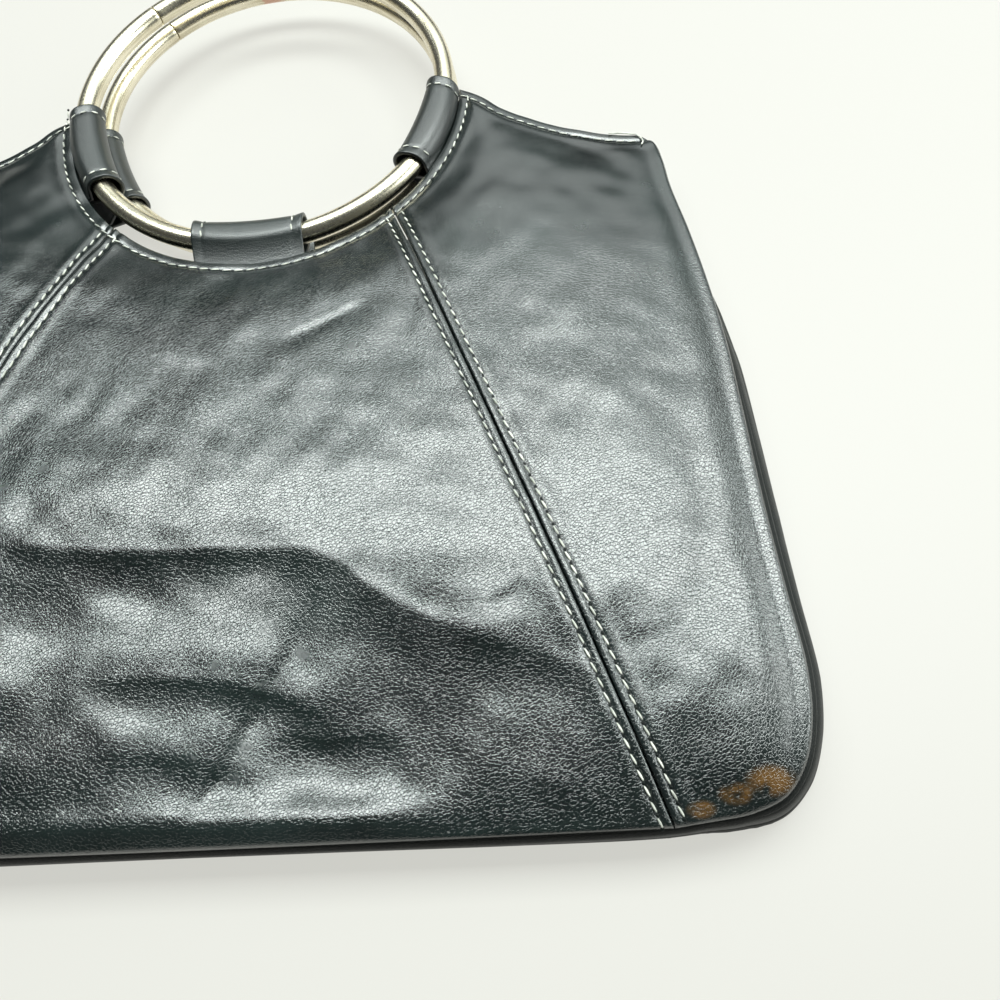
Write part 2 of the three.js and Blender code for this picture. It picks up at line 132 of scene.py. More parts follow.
class SmoothCurve:
    """A centripetal curve through a short row of points."""

    def __init__(self, points: Sequence[Sequence[float]]) -> None:
        """Keeps the points, with one added past each end."""
        inner = np.array(points, float)
        first = 2.0 * inner[0] - inner[1]
        last = 2.0 * inner[-1] - inner[-2]
        self.points = np.vstack([first, inner, last])
        self.spans = len(inner) - 1

    def at(self, share: Array | float) -> Array:
        """Gives the points at shares of the way along.

        Args:
            share: One share or an array of them, from 0 to 1.

        Returns:
            An array with one row for each share.
        """
        place = np.clip(np.atleast_1d(share), 0.0, 1.0) * self.spans
        index = np.minimum(place.astype(int), self.spans - 1)
        local = (place - index)[:, None]
        p0, p1, p2, p3 = (self.points[index + shift] for shift in range(4))
        knots = [np.sqrt(np.linalg.norm(b - a, axis=1))[:, None] for a, b in ((p0, p1), (p1, p2), (p2, p3))]
        d0, d1, d2 = (np.maximum(knot, 1e-6) for knot in knots)
        leave = ((p1 - p0) / d0 - (p2 - p0) / (d0 + d1) + (p2 - p1) / d1) * d1
        arrive = ((p2 - p1) / d1 - (p3 - p1) / (d1 + d2) + (p3 - p2) / d2) * d1
        square = -3.0 * p1 + 3.0 * p2 - 2.0 * leave - arrive
        cube = 2.0 * p1 - 2.0 * p2 + leave + arrive
        return p1 + leave * local + square * local**2 + cube * local**3


@dataclass(frozen=True)
class RimRow:
    """One row of the sewn edge: shares of the sizes that its columns follow."""

    across: float
    down: float
    flare: float
    fold: float


@dataclass(frozen=True)
class Dent:
    """A dent or swell of the front: place, half sizes, turn in degrees and rise in millimetres."""

    x: float
    y: float
    long: float
    wide: float
    turn: float
    rise: float

    def rise_at(self, x: Array, y: Array) -> Array:
        """Gives the dent's height at places of the plan, in metres."""
        turn = math.radians(self.turn)
        dx = x - self.x * MM
        dy = y - self.y * MM
        along = (dx * math.cos(turn) + dy * math.sin(turn)) / (self.long * MM)
        square = (dy * math.cos(turn) - dx * math.sin(turn)) / (self.wide * MM)
        return self.rise * MM * np.exp(-(along**2) - square**2)


@dataclass(frozen=True)
class Fold:
    """A fold of the front: the leather drops on the right of its route and comes back slowly.

    The route is in millimetres, and so are the width of the dark side and the drop.
    """

    route: tuple[tuple[float, float], ...]
    wide: float
    drop: float

    def rise_at(self, x: Array, y: Array) -> Array:
        """Gives the fold's height at places of the plan, in metres."""
        line = SmoothCurve(self.route).at(np.linspace(0.0, 1.0, 25)) * MM
        nearest = np.full(x.shape, np.inf)
        share = np.zeros(x.shape)
        side = np.zeros(x.shape)
        for index, (start, end) in enumerate(zip(line[:-1], line[1:])):
            run = end - start
            dx, dy = x - start[0], y - start[1]
            along = np.clip((dx * run[0] + dy * run[1]) / float(run @ run), 0.0, 1.0)
            gap = np.hypot(dx - along * run[0], dy - along * run[1])
            closer = gap < nearest
            nearest = np.where(closer, gap, nearest)
            share = np.where(closer, (index + along) / (len(line) - 1), share)
            side = np.where(closer, dx * run[1] - dy * run[0], side)
        reach = nearest / (self.wide * MM)
        taper = (1.0 - np.abs(2.0 * share - 1.0) ** 2.5) * (side > 0)
        return -self.drop * MM * taper * reach * np.exp(1.0 - reach)


@dataclass
class Ripples:
    """Shallow blotches of soft leather: crossed waves whose directions and phases are drawn once."""

    count: int = 20
    shortest: float = 11.0 * MM
    longest: float = 40.0 * MM
    slope: float = 0.034
    seed: int = 7

    def rise_at(self, x: Array, y: Array) -> Array:
        """Gives the waves' height at places of the plan, in metres."""
        draw = np.random.default_rng(self.seed)
        total = np.zeros(x.shape)
        for length in np.geomspace(self.shortest, self.longest, self.count):
            turn = draw.uniform(0.0, math.pi)
            phases = draw.uniform(0.0, 2.0 * math.pi, 2)
            wave = 2.0 * math.pi / length
            first = np.sin(wave * (x * math.cos(turn) + y * math.sin(turn)) + phases[0])
            second = np.sin(wave * (y * math.cos(turn) - x * math.sin(turn)) + phases[1])
            total += first * second / wave
        return total * self.slope * 2.0 / math.sqrt(self.count)


@dataclass
class BagPlan:
    """Outline of the bag's faces about the middle of the front ring, and the front's height."""

    ring_radius: float = 60.0 * MM
    half_width: float = 140.8 * MM
    drop: float = 231.0 * MM
    opening_half_width: float = 64.5 * MM
    opening_depth: float = 69.0 * MM
    peak_angle: float = math.radians(-0.8)
    seam_top_angle: float = math.radians(-48.2)
    seam_foot: float = 107.0 * MM
    seam_gap: float = 0.3 * MM
    back_rise: float = 1.5 * MM
    rim_height: float = 18.0 * MM
    crown: float = 9.0 * MM
    crown_reach: float = 22.0 * MM
    mouth_drop: float = 8.0 * MM
    hem_width: float = 4.0 * MM
    tip_drop: float = 3.0 * MM
    tip_reach: float = 28.0 * MM
    flare: float = 7.0 * MM
    corner_foot_row: int = 15
    rim_rows: tuple[RimRow, ...] = (
        RimRow(0.862, 0.106, -0.20, -1.0),
        RimRow(0.893, 0.121, -0.25, -1.0),
        RimRow(0.905, 0.158, -0.20, -0.95),
        RimRow(0.912, 0.208, 0.10, -0.8),
        RimRow(0.932, 0.286, 0.55, -0.4),
        RimRow(0.952, 0.381, 0.85, 0.2),
        RimRow(0.966, 0.468, 0.97, 0.6),
        RimRow(0.973, 0.563, 1.00, 0.8),
        RimRow(0.979, 0.671, 1.05, 1.0),
        RimRow(0.989, 0.771, 1.00, 1.0),
        RimRow(0.999, 0.857, 0.95, 1.0),
        RimRow(0.992, 0.905, 0.85, 0.9),
        RimRow(0.971, 0.946, 0.70, 0.8),
        RimRow(0.935, 0.974, 0.50, 0.7),
        RimRow(0.882, 0.988, 0.25, 0.6),
        RimRow(0.816, 0.994, 0.12, 0.6),
        RimRow(0.760, 0.998, 0.08, 0.6),
        RimRow(0.500, 1.000, 0.05, 0.7),
        RimRow(0.250, 1.000, 0.02, 0.7),
        RimRow(0.000, 1.000, 0.00, 0.7),
    )
    top_rows: tuple[tuple[float, float], ...] = (
        (0.484, 0.0125),
        (0.520, 0.028),
        (0.550, 0.046),
        (0.597, 0.063),
        (0.641, 0.077),
        (0.686, 0.088),
        (0.732, 0.097),
        (0.776, 0.102),
        (0.821, 0.105),
    )
    dents: tuple[Dent, ...] = (
        Dent(0, -150, 60, 16, 4, 1.2),
        Dent(46, -108, 22, 10, 24, -0.8),
        Dent(60, -168, 30, 16, -8, 1.2),
        Dent(36, -212, 22, 12, -6, -1.4),
        Dent(80, -205, 34, 14, 4, -1.3),
        Dent(84, -232, 36, 20, 0, -2.8),
        Dent(25, -97, 15, 6, 27, -0.8),
        Dent(101, -139, 20, 21, 0, 1.0),
        Dent(104, -189, 17, 6, 16, -0.5),
        Dent(-42, -148, 37, 13, 14, 1.2),
        Dent(-56, -180, 31, 9, -10, -1.6),
        Dent(-31, -203, 28, 9, 8, -1.4),
        Dent(-106, -162, 17, 20, 0, 1.0),
    )
    folds: tuple[Fold, ...] = (
        Fold(((-50, -161), (-20, -164), (8, -165), (30, -166)), 12.5, 2.3),
        Fold(((22, -165), (33, -169), (45, -178), (58, -185), (74, -189)), 19.0, 2.7),
        Fold(((60, -188), (78, -192), (96, -200)), 10.0, 1.0),
        Fold(((-26, -194), (0, -195), (20, -199), (38, -207)), 7.5, 1.3),
        Fold(((20, -207), (34, -209), (50, -208)), 6.0, 0.9),
        Fold(((-20, -211), (0, -212), (14, -215)), 4.5, 0.5),
        Fold(((68, -180), (73, -179), (78, -175)), 2.0, 0.3),
        Fold(((13, -102), (38, -89)), 1.7, 0.42),
        Fold(((94, -192), (115, -186)), 1.6, 0.12),
    )
    place: Vector = field(default_factory=lambda: Vector(joint_of("front_ring_turn")["pos_m"]))

    def __post_init__(self) -> None:
        """Works out the curves that the pieces share."""
        self.rim = SmoothCurve([self.share_point(row.across, row.down) for row in self.rim_rows])
        peak = self.opening_point(np.array([self.peak_angle]))[0]
        first = self.rim_rows[0]
        top = [self.share_point(*row) for row in self.top_rows]
        self.top_edge = SmoothCurve([peak, *top, self.share_point(first.across, first.down)])
        angles = np.linspace(-math.pi / 2, self.peak_angle, 60)
        self.mouth_line = np.vstack([self.opening_point(angles), self.top_edge.at(np.linspace(0, 1, 50))])
        self.rim_line = self.rim.at(np.linspace(0.0, 1.0, 160))
        past_middle = self.rim_line[-2:-40:-1] * np.array([-1.0, 1.0])
        self.whole_rim = np.vstack([self.rim_line, past_middle])
        near = self.rim_line[self.rim_line[:, 1] < -self.drop / 2]
        self.seam_drop = -float(near[np.argmin(np.abs(near[:, 0] - self.seam_foot))][1])
        foot = np.array([self.seam_foot, -self.seam_drop])
        head = self.opening_point(np.array([self.seam_top_angle]))[0]
        self.seam_line = np.vstack([foot, head])

    def share_point(self, across: float, down: float) -> tuple[float, float]:
        """Turns shares of the half width and the drop into a place in plan."""
        return across * self.half_width, -down * self.drop

    def opening_point(self, angle: Array) -> Array:
        """Gives places on the oval of the hand opening."""
        return np.stack([self.opening_half_width * np.cos(angle), self.opening_depth * np.sin(angle)], 1)

    def rim_column(self, column: str, share: Array) -> Array:
        """Reads one column of the rim's table at shares of the way along it."""
        values = [getattr(row, column) for row in self.rim_rows]
        return np.interp(share * (len(values) - 1), np.arange(len(values)), values)

    def rim_outward(self, share: Array) -> Array:
        """Gives the level direction out of the rim at shares of the way along it."""
        step = 0.002
        run = self.rim.at(np.minimum(share + step, 1.0)) - self.rim.at(np.maximum(share - step, 0.0))
        out = np.stack([-run[:, 1], run[:, 0]], 1)
        return out / np.linalg.norm(out, axis=1)[:, None]

    def back_shift(self, down: Array) -> Array:
        """Tells how far up the slack back has moved, by share of the drop."""
        return self.back_rise * (1.0 - smooth_ramp(down, 0.1, 0.9))

    def base_height(self, x: Array, y: Array) -> Array:
        """Gives the stuffed front's height without dents, edges and seams."""
        side = np.abs(x)
        whole = self.whole_rim
        fullness = 1.0 - np.exp(-smooth_distance(side, y, whole) / self.crown_reach)
        mouth = smooth_distance(side, y, self.mouth_line)
        near_mouth = np.exp(-(mouth**2) / (mouth + self.hem_width) / self.crown_reach)
        tip = self.share_point(self.rim_rows[1].across, self.rim_rows[1].down)
        near_tip = np.exp(-((side - tip[0]) ** 2 + (y - tip[1]) ** 2) / (2 * self.tip_reach**2))
        dents = sum(dent.rise_at(x, y) for dent in self.dents)
        swell = self.crown - self.mouth_drop * near_mouth + dents
        return self.rim_height - self.tip_drop * near_tip + fullness * swell

    def center_map(self, u: Array, v: Array) -> tuple[Array, Array]:
        """Maps shares to the panel between the slanting seams: u across, v from the bottom up."""
        side = 2.0 * u - 1.0
        foot_y = -self.drop + (self.drop - self.seam_drop) * side**2
        top = self.opening_point(-math.pi / 2 + side * (self.seam_top_angle + math.pi / 2))
        x = (1 - v) * side * self.seam_foot + v * top[:, 0] - side * 0.6 * self.seam_gap
        return x, (1 - v) * foot_y + v * top[:, 1]

    def side_map(self, u: Array, v: Array) -> tuple[Array, Array]:
        """Maps shares to the right side panel: u from the seam to the rim, v from the bottom up."""
        aside = np.array([0.6 * self.seam_gap, 0.0])
        foot, head = self.seam_line[0] + aside, self.seam_line[1] + aside
        corner_share = self.corner_foot_row / (len(self.rim_rows) - 1)
        outer_foot = self.rim.at(corner_share)[0]
        outer_head = self.rim.at(0.0)[0]
        inner = foot + v[:, None] * (head - foot)
        outer = self.rim.at(corner_share * (1 - v))
        bottom = foot + u[:, None] * (outer_foot - foot)
        angle = self.seam_top_angle + np.clip(2 * u, 0, 1) * (self.peak_angle - self.seam_top_angle)
        arc = self.opening_point(angle) + aside * (1 - np.clip(2 * u, 0, 1))[:, None]
        top = np.where((u < 0.5)[:, None], arc, self.top_edge.at(2 * u - 1))
        uu, vv = u[:, None], v[:, None]
        point = (1 - uu) * inner + uu * outer + (1 - vv) * bottom + vv * top
        corners = (1 - uu) * (1 - vv) * foot + uu * (1 - vv) * outer_foot
        point -= corners + (1 - uu) * vv * head + uu * vv * outer_head
        return point[:, 0], point[:, 1]

    def to_frame(self, x: Array, y: Array, z: Array) -> Array:
        """Moves plan places to the frame."""
        return np.stack([x + self.place.x, y + self.place.y, z], 1)


def object_from(mesh: bmesh.types.BMesh, name: str) -> bpy.types.Object:
    """Turns a bmesh into a smooth object at the origin."""
    data = bpy.data.meshes.new(name)
    mesh.to_mesh(data)
    mesh.free()
    data.polygons.foreach_set("use_smooth", [True] * len(data.polygons))
    made = bpy.data.objects.new(name, data)
    bpy.context.scene.collection.objects.link(made)
    return made


def edge_dense(share: Array, edge: float, rows: float) -> Array:
    """Spreads even shares so that the first and last rows crowd at the edges.

    Args:
        share: Even shares from 0 to 1.
        edge: Width of the crowded margin, as a share of the whole.
        rows: Part of the even shares that goes into each margin.

    Returns:
        The spread shares, still from 0 to 1.
    """
    return np.interp(share, [0.0, rows, 1.0 - rows, 1.0], [0.0, edge, 1.0 - edge, 1.0])


def mapped_grid(
    name: str, steps: tuple[int, int], surface: Callable[[Array, Array], Array]
) -> bpy.types.Object:
    """Makes an object from a grid whose points follow a surface.

    Args:
        name: The object's name.
        steps: Steps in u and v.
        surface: Gives places in the frame from even shares u and v.

    Returns:
        The object, with its faces on the side where u turns to v.
    """
    mesh = bmesh.new()
    bmesh.ops.create_grid(mesh, x_segments=steps[0], y_segments=steps[1], size=0.5)
    flat = np.array([vert.co for vert in mesh.verts])
    places = surface(flat[:, 0] + 0.5, flat[:, 1] + 0.5)
    for vert, place in zip(mesh.verts, places):
        vert.co = place
    return object_from(mesh, name)


def thicken(made: bpy.types.Object, thickness: float, offset: float) -> None:
    """Gives a leather sheet its wall: offset -1 lays it behind the sheet, 0 on both sides."""
    solid = made.modifiers.new("wall", "SOLIDIFY")
    solid.thickness = thickness
    solid.offset = offset


@dataclass
class Thread:
    """A row of stitches along a path on the leather."""

    pitch: float = 3.5 * MM
    length: float = 2.7 * MM
    radius: float = 0.26 * MM
    lift: float = 0.24 * MM
    slant: float = math.radians(8)
    hole: float = 0.42 * MM

    def sew(
        self, mesh: bmesh.types.BMesh, path: Array, normals: Array, hole_shade: bmesh.types.BMesh | None = None
    ) -> int:
        """Adds stitches to a mesh, and to another the dark discs that paint the shade in each needle hole between them.

        Args:
            mesh: The mesh that the stitches are added to.
            path: Close points of the row, in the frame.
            normals: The leather's outward direction at each point.
            hole_shade: The mesh that takes the dark discs of painted needle-hole shade, if they show.

        Returns:
            How many stitches were sewn.
        """
        runs = np.linalg.norm(np.diff(path, axis=0), axis=1)
        reach = np.concatenate([[0.0], np.cumsum(runs)])
        count = max(1, int(reach[-1] / self.pitch))
        for index in range(count):
            middle = (index + 0.5) * reach[-1] / count
            ends = [middle - self.length / 2, middle + self.length / 2]
            start, end = (np.array([np.interp(e, reach, path[:, k]) for k in range(3)]) for e in ends)
            here = np.array([np.interp(middle, reach, path[:, k]) for k in range(3)])
            up = Vector([np.interp(middle, reach, normals[:, k]) for k in range(3)]).normalized()
            along = Vector(end - start).normalized()
            across = up.cross(along).normalized()
            turn = Matrix((along, across, up)).transposed().to_4x4() @ Matrix.Rotation(self.slant, 4, "Z")
            size = Matrix.Diagonal((self.length / 2, self.radius, self.radius * 0.8, 1.0))
            move = Matrix.Translation(Vector(here) + up * self.lift)
            bmesh.ops.create_uvsphere(mesh, u_segments=8, v_segments=6, radius=1.0, matrix=move @ turn @ size)
            # A flat dark disc at each needle hole is painted shade.
            if hole_shade is not None:
                rim = Matrix.Diagonal((self.hole * 1.2, self.hole, self.hole * 0.35, 1.0))
                spot = Matrix.Translation(Vector(start) - along * (self.pitch - self.length) / 2)
                bmesh.ops.create_uvsphere(hole_shade, u_segments=8, v_segments=5, radius=1.0, matrix=spot @ turn @ rim)
        return count


@dataclass
class LeatherFront:
    """The three sewn panels of the front, with their edges, seams, dents and topstitching."""

    plan: BagPlan
    thickness: float = 1.4 * MM
    rim_round: float = 1.1 * MM
    foot_roll: float = 1.2 * MM
    side_roll: float = 1.2 * MM
    mouth_round: float = 0.5 * MM
    hem_stitch: float = 3.1 * MM
    seam_stitch: float = 2.5 * MM
    seam_round: float = 0.45 * MM
    ripples: Ripples = field(default_factory=Ripples)
    center_steps: tuple[int, int] = (240, 180)
    side_steps: tuple[int, int] = (120, 220)

    def edge_drop(self, distance: Array, reach: Array | float, depth: float) -> Array:
        """Gives how far the leather turns down at a rounded edge."""
        inside = np.clip(1.0 - distance / reach, 0.0, 1.0)
        return depth * (1.0 - np.sqrt(1.0 - inside**2))

    def height(self, x: Array, y: Array) -> Array:
        """Gives the front's outer face with every fold, seam and edge."""
        plan = self.plan
        side = np.abs(x)
        z = plan.base_height(x, y)
        rim = polyline_distance(side, y, plan.rim_line)
        mouth = polyline_distance(side, y, plan.mouth_line)
        seam = polyline_distance(side, y, plan.seam_line)
        fade = smooth_ramp(rim, 2 * MM, 14 * MM)
        z += fade * (sum(fold.rise_at(x, y) for fold in plan.folds) + self.ripples.rise_at(x, y))

        # Rim: a roll above the bottom edge, and a narrow one hugging the edge up the sides.
        up_side = smooth_ramp(y, -226 * MM, -206 * MM)
        level_foot = 1.0 - smooth_ramp(side, 40 * MM, 62 * MM)
        away = smooth_ramp(mouth, 2 * MM, 14 * MM)
        z += self.foot_roll * level_foot * (1.0 - up_side) * np.exp(-(((rim - 4.8 * MM) / (4.0 * MM)) ** 2))
        z += self.side_roll * up_side * away * np.exp(-(((rim - 1.0 * MM) / (2.2 * MM)) ** 2))
        z += 0.5 * self.side_roll * up_side * away * np.exp(-(((rim - 9.0 * MM) / (5.0 * MM)) ** 2))

        # Hem along the hand opening and the top edge.
        z += 0.16 * MM * np.exp(-(((mouth - 1.3 * MM) / (1.1 * MM)) ** 2))
        z -= 0.24 * MM * np.exp(-(((mouth - self.hem_stitch) / (0.7 * MM)) ** 2))
        z += 0.22 * MM * np.exp(-(((mouth - 5.2 * MM) / (1.6 * MM)) ** 2))

        # Slanting seam: turned edges, pulled down and puckered at the two rows of topstitching.
        foot, head = plan.seam_line
        run = (head - foot) / np.linalg.norm(head - foot)
        along = (side - foot[0]) * run[0] + (y - foot[1]) * run[1]
        pucker = 1.0 + 0.45 * np.cos(2.0 * math.pi * along / Thread.pitch)
        z += 0.26 * MM * np.exp(-(((seam - 1.1 * MM) / (0.7 * MM)) ** 2))
        z -= 0.22 * MM * pucker * np.exp(-(((seam - self.seam_stitch) / (0.65 * MM)) ** 2))
        z += 0.22 * MM * np.exp(-(((seam - 4.3 * MM) / (1.5 * MM)) ** 2))

        z -= self.edge_drop(rim, self.rim_round, self.rim_round)
        z -= self.edge_drop(mouth, self.mouth_round, self.mouth_round)
        groove = self.seam_round * (1.5 - 0.9 * np.clip(along / np.linalg.norm(head - foot), 0.0, 1.0))
        return z - self.edge_drop(seam, groove, self.seam_round * 1.8)

    def surface(self, plan_map: PlanMap, edges: tuple[float, float]) -> Callable[[Array, Array], Array]:
        """Makes the function that lays a grid on the front."""

        def lay(u: Array, v: Array) -> Array:
            x, y = plan_map(edge_dense(u, edges[0], 0.15), edge_dense(v, edges[1], 0.10))
            return self.plan.to_frame(x, y, self.height(x, y))

        return lay

    def left_map(self, u: Array, v: Array) -> tuple[Array, Array]:
        """Maps shares to the left side panel."""
        x, y = self.plan.side_map(1 - u, v)
        return -x, y

    def build(self) -> list[tuple[bpy.types.Object, str]]:
        """Makes the three panels, each with the node that it stands for."""
        panels = (
            ("front_center_leather", "front_center_panel", self.plan.center_map, self.center_steps, (0.028, 0.034)),
            ("front_side_leather_right", "front_side_panel_right", self.plan.side_map, self.side_steps, (0.11, 0.028)),
            ("front_side_leather_left", "front_side_panel_left", self.left_map, self.side_steps, (0.11, 0.028)),
        )
        made = []
        for name, node, plan_map, steps, edges in panels:
            panel = mapped_grid(name, steps, self.surface(plan_map, edges))
            thicken(panel, self.thickness, -1.0)
            made.append((panel, node))
        return made

    def on_leather(self, points: Array) -> tuple[Array, Array]:
        """Lays plan points on the front, and gives the leather's outward directions there."""
        x, y = points[:, 0], points[:, 1]
        step = 0.4 * MM
        z = self.height(x, y)
        slope_x = (self.height(x + step, y) - self.height(x - step, y)) / (2 * step)
        slope_y = (self.height(x, y + step) - self.height(x, y - step)) / (2 * step)
        normal = np.stack([-slope_x, -slope_y, np.ones_like(z)], 1)
        return self.plan.to_frame(x, y, z), normal / np.linalg.norm(normal, axis=1)[:, None]

    def inset_line(self, line: Array, inset: float) -> Array:
        """Moves a line of the plan sideways, to the left of its own direction."""
        run = np.gradient(line, axis=0)
        run /= np.linalg.norm(run, axis=1)[:, None]
        return line + inset * np.stack([-run[:, 1], run[:, 0]], 1)

    def stitch(self) -> tuple[bpy.types.Object, bpy.types.Object]:
        """Sews the topstitching of the front, and gives it and the dark discs that paint the shade in each needle hole.
        """
        plan = self.plan
        mesh, hole_shade = bmesh.new(), bmesh.new()
        thread = Thread()
        angles = np.linspace(-math.pi - plan.peak_angle - 0.05, plan.peak_angle - 0.05, 200)
        hem = self.inset_line(plan.opening_point(angles), -self.hem_stitch)
        total = thread.sew(mesh, *self.on_leather(hem), hole_shade)
        top = self.inset_line(plan.top_edge.at(np.linspace(0.04, 0.985, 90)), -self.hem_stitch)
        seam = plan.seam_line[0] + np.linspace(0.004, 0.985, 120)[:, None] * (plan.seam_line[1] - plan.seam_line[0])
        rows = [top, self.inset_line(seam, self.seam_stitch), self.inset_line(seam, -self.seam_stitch)]
        for row in rows:
            for side in Side:
                total += thread.sew(mesh, *self.on_leather(row * np.array([side.value, 1])), hole_shade)
        turn = np.linspace(math.radians(125), math.radians(-25), 24)
        tip = plan.top_edge.at(np.array([0.985]))[0] + np.array([-5.0, -3.6]) * MM
        loop = tip + np.stack([6.5 * MM * np.cos(turn), 4.2 * MM * np.sin(turn)], 1)
        places, normals = self.on_leather(loop)
        loose = Thread(pitch=1.0 * MM, length=2.0 * MM, lift=0.5 * MM, slant=0.0)
        total += loose.sew(mesh, places, normals)
        LOG.info("front topstitching: %d stitches", total)
        return object_from(mesh, "front_topstitching"), object_from(hole_shade, "front_needle_holes")


@dataclass
class LeatherBack:
    """The three panels of the flat back, cut from the same pattern with a slack rim."""

    plan: BagPlan
    thickness: float = 1.4 * MM
    center_steps: tuple[int, int] = (90, 80)
    side_steps: tuple[int, int] = (48, 90)

    def back_map(self, plan_map: PlanMap) -> Callable[[Array, Array], Array]:
        """Makes the function that lays a grid on the back."""
        plan = self.plan

        def lay(u: Array, v: Array) -> Array:
            x, y = plan_map(edge_dense(u, 0.02, 0.06), edge_dense(v, 0.01, 0.05))
            side = np.abs(x)
            near = np.argmin((side[:, None] - plan.rim_line[:, 0]) ** 2 + (y[:, None] - plan.rim_line[:, 1]) ** 2, 1)
            share = near / (len(plan.rim_line) - 1)
            reach = np.exp(-polyline_distance(side, y, plan.rim_line) / plan.crown_reach)
            out = plan.rim_outward(share) * ((plan.rim_column("flare", share) * plan.flare + plan.seam_gap) * reach)[:, None]
            back_x = x + np.sign(x) * out[:, 0]
            back_y = y + out[:, 1] + plan.back_shift(-y / plan.drop)
            return plan.to_frame(back_x, back_y, np.full(x.shape, self.thickness))

        return lay

    def left_map(self, u: Array, v: Array) -> tuple[Array, Array]:
        """Maps shares to the left side panel."""
        x, y = self.plan.side_map(1 - u, v)
        return -x, y

    def build(self) -> list[tuple[bpy.types.Object, str]]:
        """Makes the three panels, each with the node that it stands for."""
        panels = (
            ("back_center_leather", "back_center_panel", self.plan.center_map, self.center_steps),
            ("back_side_leather_right", "back_side_panel_right", self.plan.side_map, self.side_steps),
            ("back_side_leather_left", "back_side_panel_left", self.left_map, self.side_steps),
        )
        made = []
        for name, node, plan_map, steps in panels:
            panel = mapped_grid(name, steps, self.back_map(plan_map))
            thicken(panel, self.thickness, -1.0)
            made.append((panel, node))
        return made


@dataclass
class Gusset:
    """The strip between front and back, sewn into both rims and tucked in at the mouth."""

    plan: BagPlan
    front: LeatherFront
    thickness: float = 1.2 * MM
    bulge: float = 2.5 * MM
    tuck: float = 13.0 * MM
    inset: float = 1.4 * MM
    steps: tuple[int, int] = (460, 30)
    welt: float = 0.9 * MM
    groove: float = 0.7 * MM

    def surface(self, u: Array, v: Array) -> Array:
        """Lays the strip: u round the rim from the right tip to the left one, v front to back."""
        plan = self.plan
        share = np.where(u <= 0.5, 2 * u, 2 - 2 * u)
        rim = plan.rim.at(share)
        outward = plan.rim_outward(share)
        fold = plan.rim_column("fold", share)
        flare = plan.rim_column("flare", share) * plan.flare
        lean = np.where(fold > 0, fold * self.bulge, fold * self.tuck)
        half = np.where(np.abs(lean) > self.thickness, self.thickness / 2, self.thickness / 3)
        top = plan.base_height(rim[:, 0], rim[:, 1]) - self.front.thickness - plan.seam_gap - half
        foot = self.front.thickness + plan.seam_gap + half
        out = -self.inset + v * flare + 4 * v * (1 - v) * lean
        out += self.welt * (np.exp(-(((v - 0.14) / 0.05) ** 2)) + np.exp(-(((v - 0.93) / 0.04) ** 2)))
        out -= self.groove * np.exp(-(((v - 0.27) / 0.06) ** 2))
        z = top + v * (foot - top)
        rise = plan.back_shift(plan.rim_column("down", share)) * v
        x = (rim[:, 0] + outward[:, 0] * out) * np.where(u <= 0.5, 1.0, -1.0)
        y = rim[:, 1] + outward[:, 1] * out + rise
        return plan.to_frame(x, y, z)

    def build(self) -> bpy.types.Object:
        """Makes the gusset."""
        made = mapped_grid("gusset_leather", self.steps, self.surface)
        thicken(made, self.thickness, 0.0)
        return made


@dataclass
class Ring:
    """A round metal ring with a butt joint, placed by its joint in the frame."""

    name: str
    node: str
    joint: str
    body: str
    radius: float = 60.0 * MM
    rod: float = 3.3 * MM
    joint_angle: float = math.radians(134)
    joint_gap: float = 0.25 * MM
    flow: ClassVar[str] = "flow"

    @property
    def center(self) -> Vector:
        """Middle of the ring in the frame."""
        return Vector(joint_of(self.joint)["pos_m"])

    @property
    def axis(self) -> Vector:
        """Axis that the ring is round about, upwards."""
        return Vector(joint_of(self.joint)["axis"]).normalized()

    def build(self) -> bpy.types.Object:
        """Spins the rod round the ring and rounds its two ends at the butt joint."""
        mesh = bmesh.new()
        across = Matrix.Rotation(math.pi / 2, 4, "X")
        circle = bmesh.ops.create_circle(mesh, segments=28, radius=self.rod, cap_ends=True, matrix=across)
        bmesh.ops.translate(mesh, verts=circle["verts"], vec=(self.radius, 0, 0))
        face = mesh.faces[:]
        open_angle = self.joint_gap / self.radius
        bmesh.ops.spin(
            mesh,
            geom=face + mesh.edges[:] + mesh.verts[:],
            cent=(0, 0, 0),
            axis=(0, 0, 1),
            dvec=(0, 0, 0),
            angle=2 * math.pi - open_angle,
            steps=220,
            use_merge=False,
            use_duplicate=False,
        )
        bmesh.ops.recalc_face_normals(mesh, faces=mesh.faces[:])
        ends = [e for e in mesh.edges if any(len(f.verts) > 4 for f in e.link_faces)]
        bmesh.ops.bevel(
            mesh, geom=ends, offset=0.35 * MM, segments=3, profile=0.5, affect="EDGES", material=-1
        )
        layer = mesh.verts.layers.float_vector.new(self.flow)
        for vert in mesh.verts:
            along = 0.03 * self.radius * math.atan2(vert.co.y, -vert.co.x)
            vert[layer] = Vector((math.hypot(vert.co.x, vert.co.y) - self.radius, along, vert.co.z))
        tilt = Vector((0, 0, 1)).rotation_difference(self.axis).to_matrix().to_4x4()
        turn = Matrix.Rotation(self.joint_angle + open_angle / 2, 4, "Z")
        bmesh.ops.transform(mesh, verts=mesh.verts[:], matrix=Matrix.Translation(self.center) @ tilt @ turn)
        return object_from(mesh, self.name)


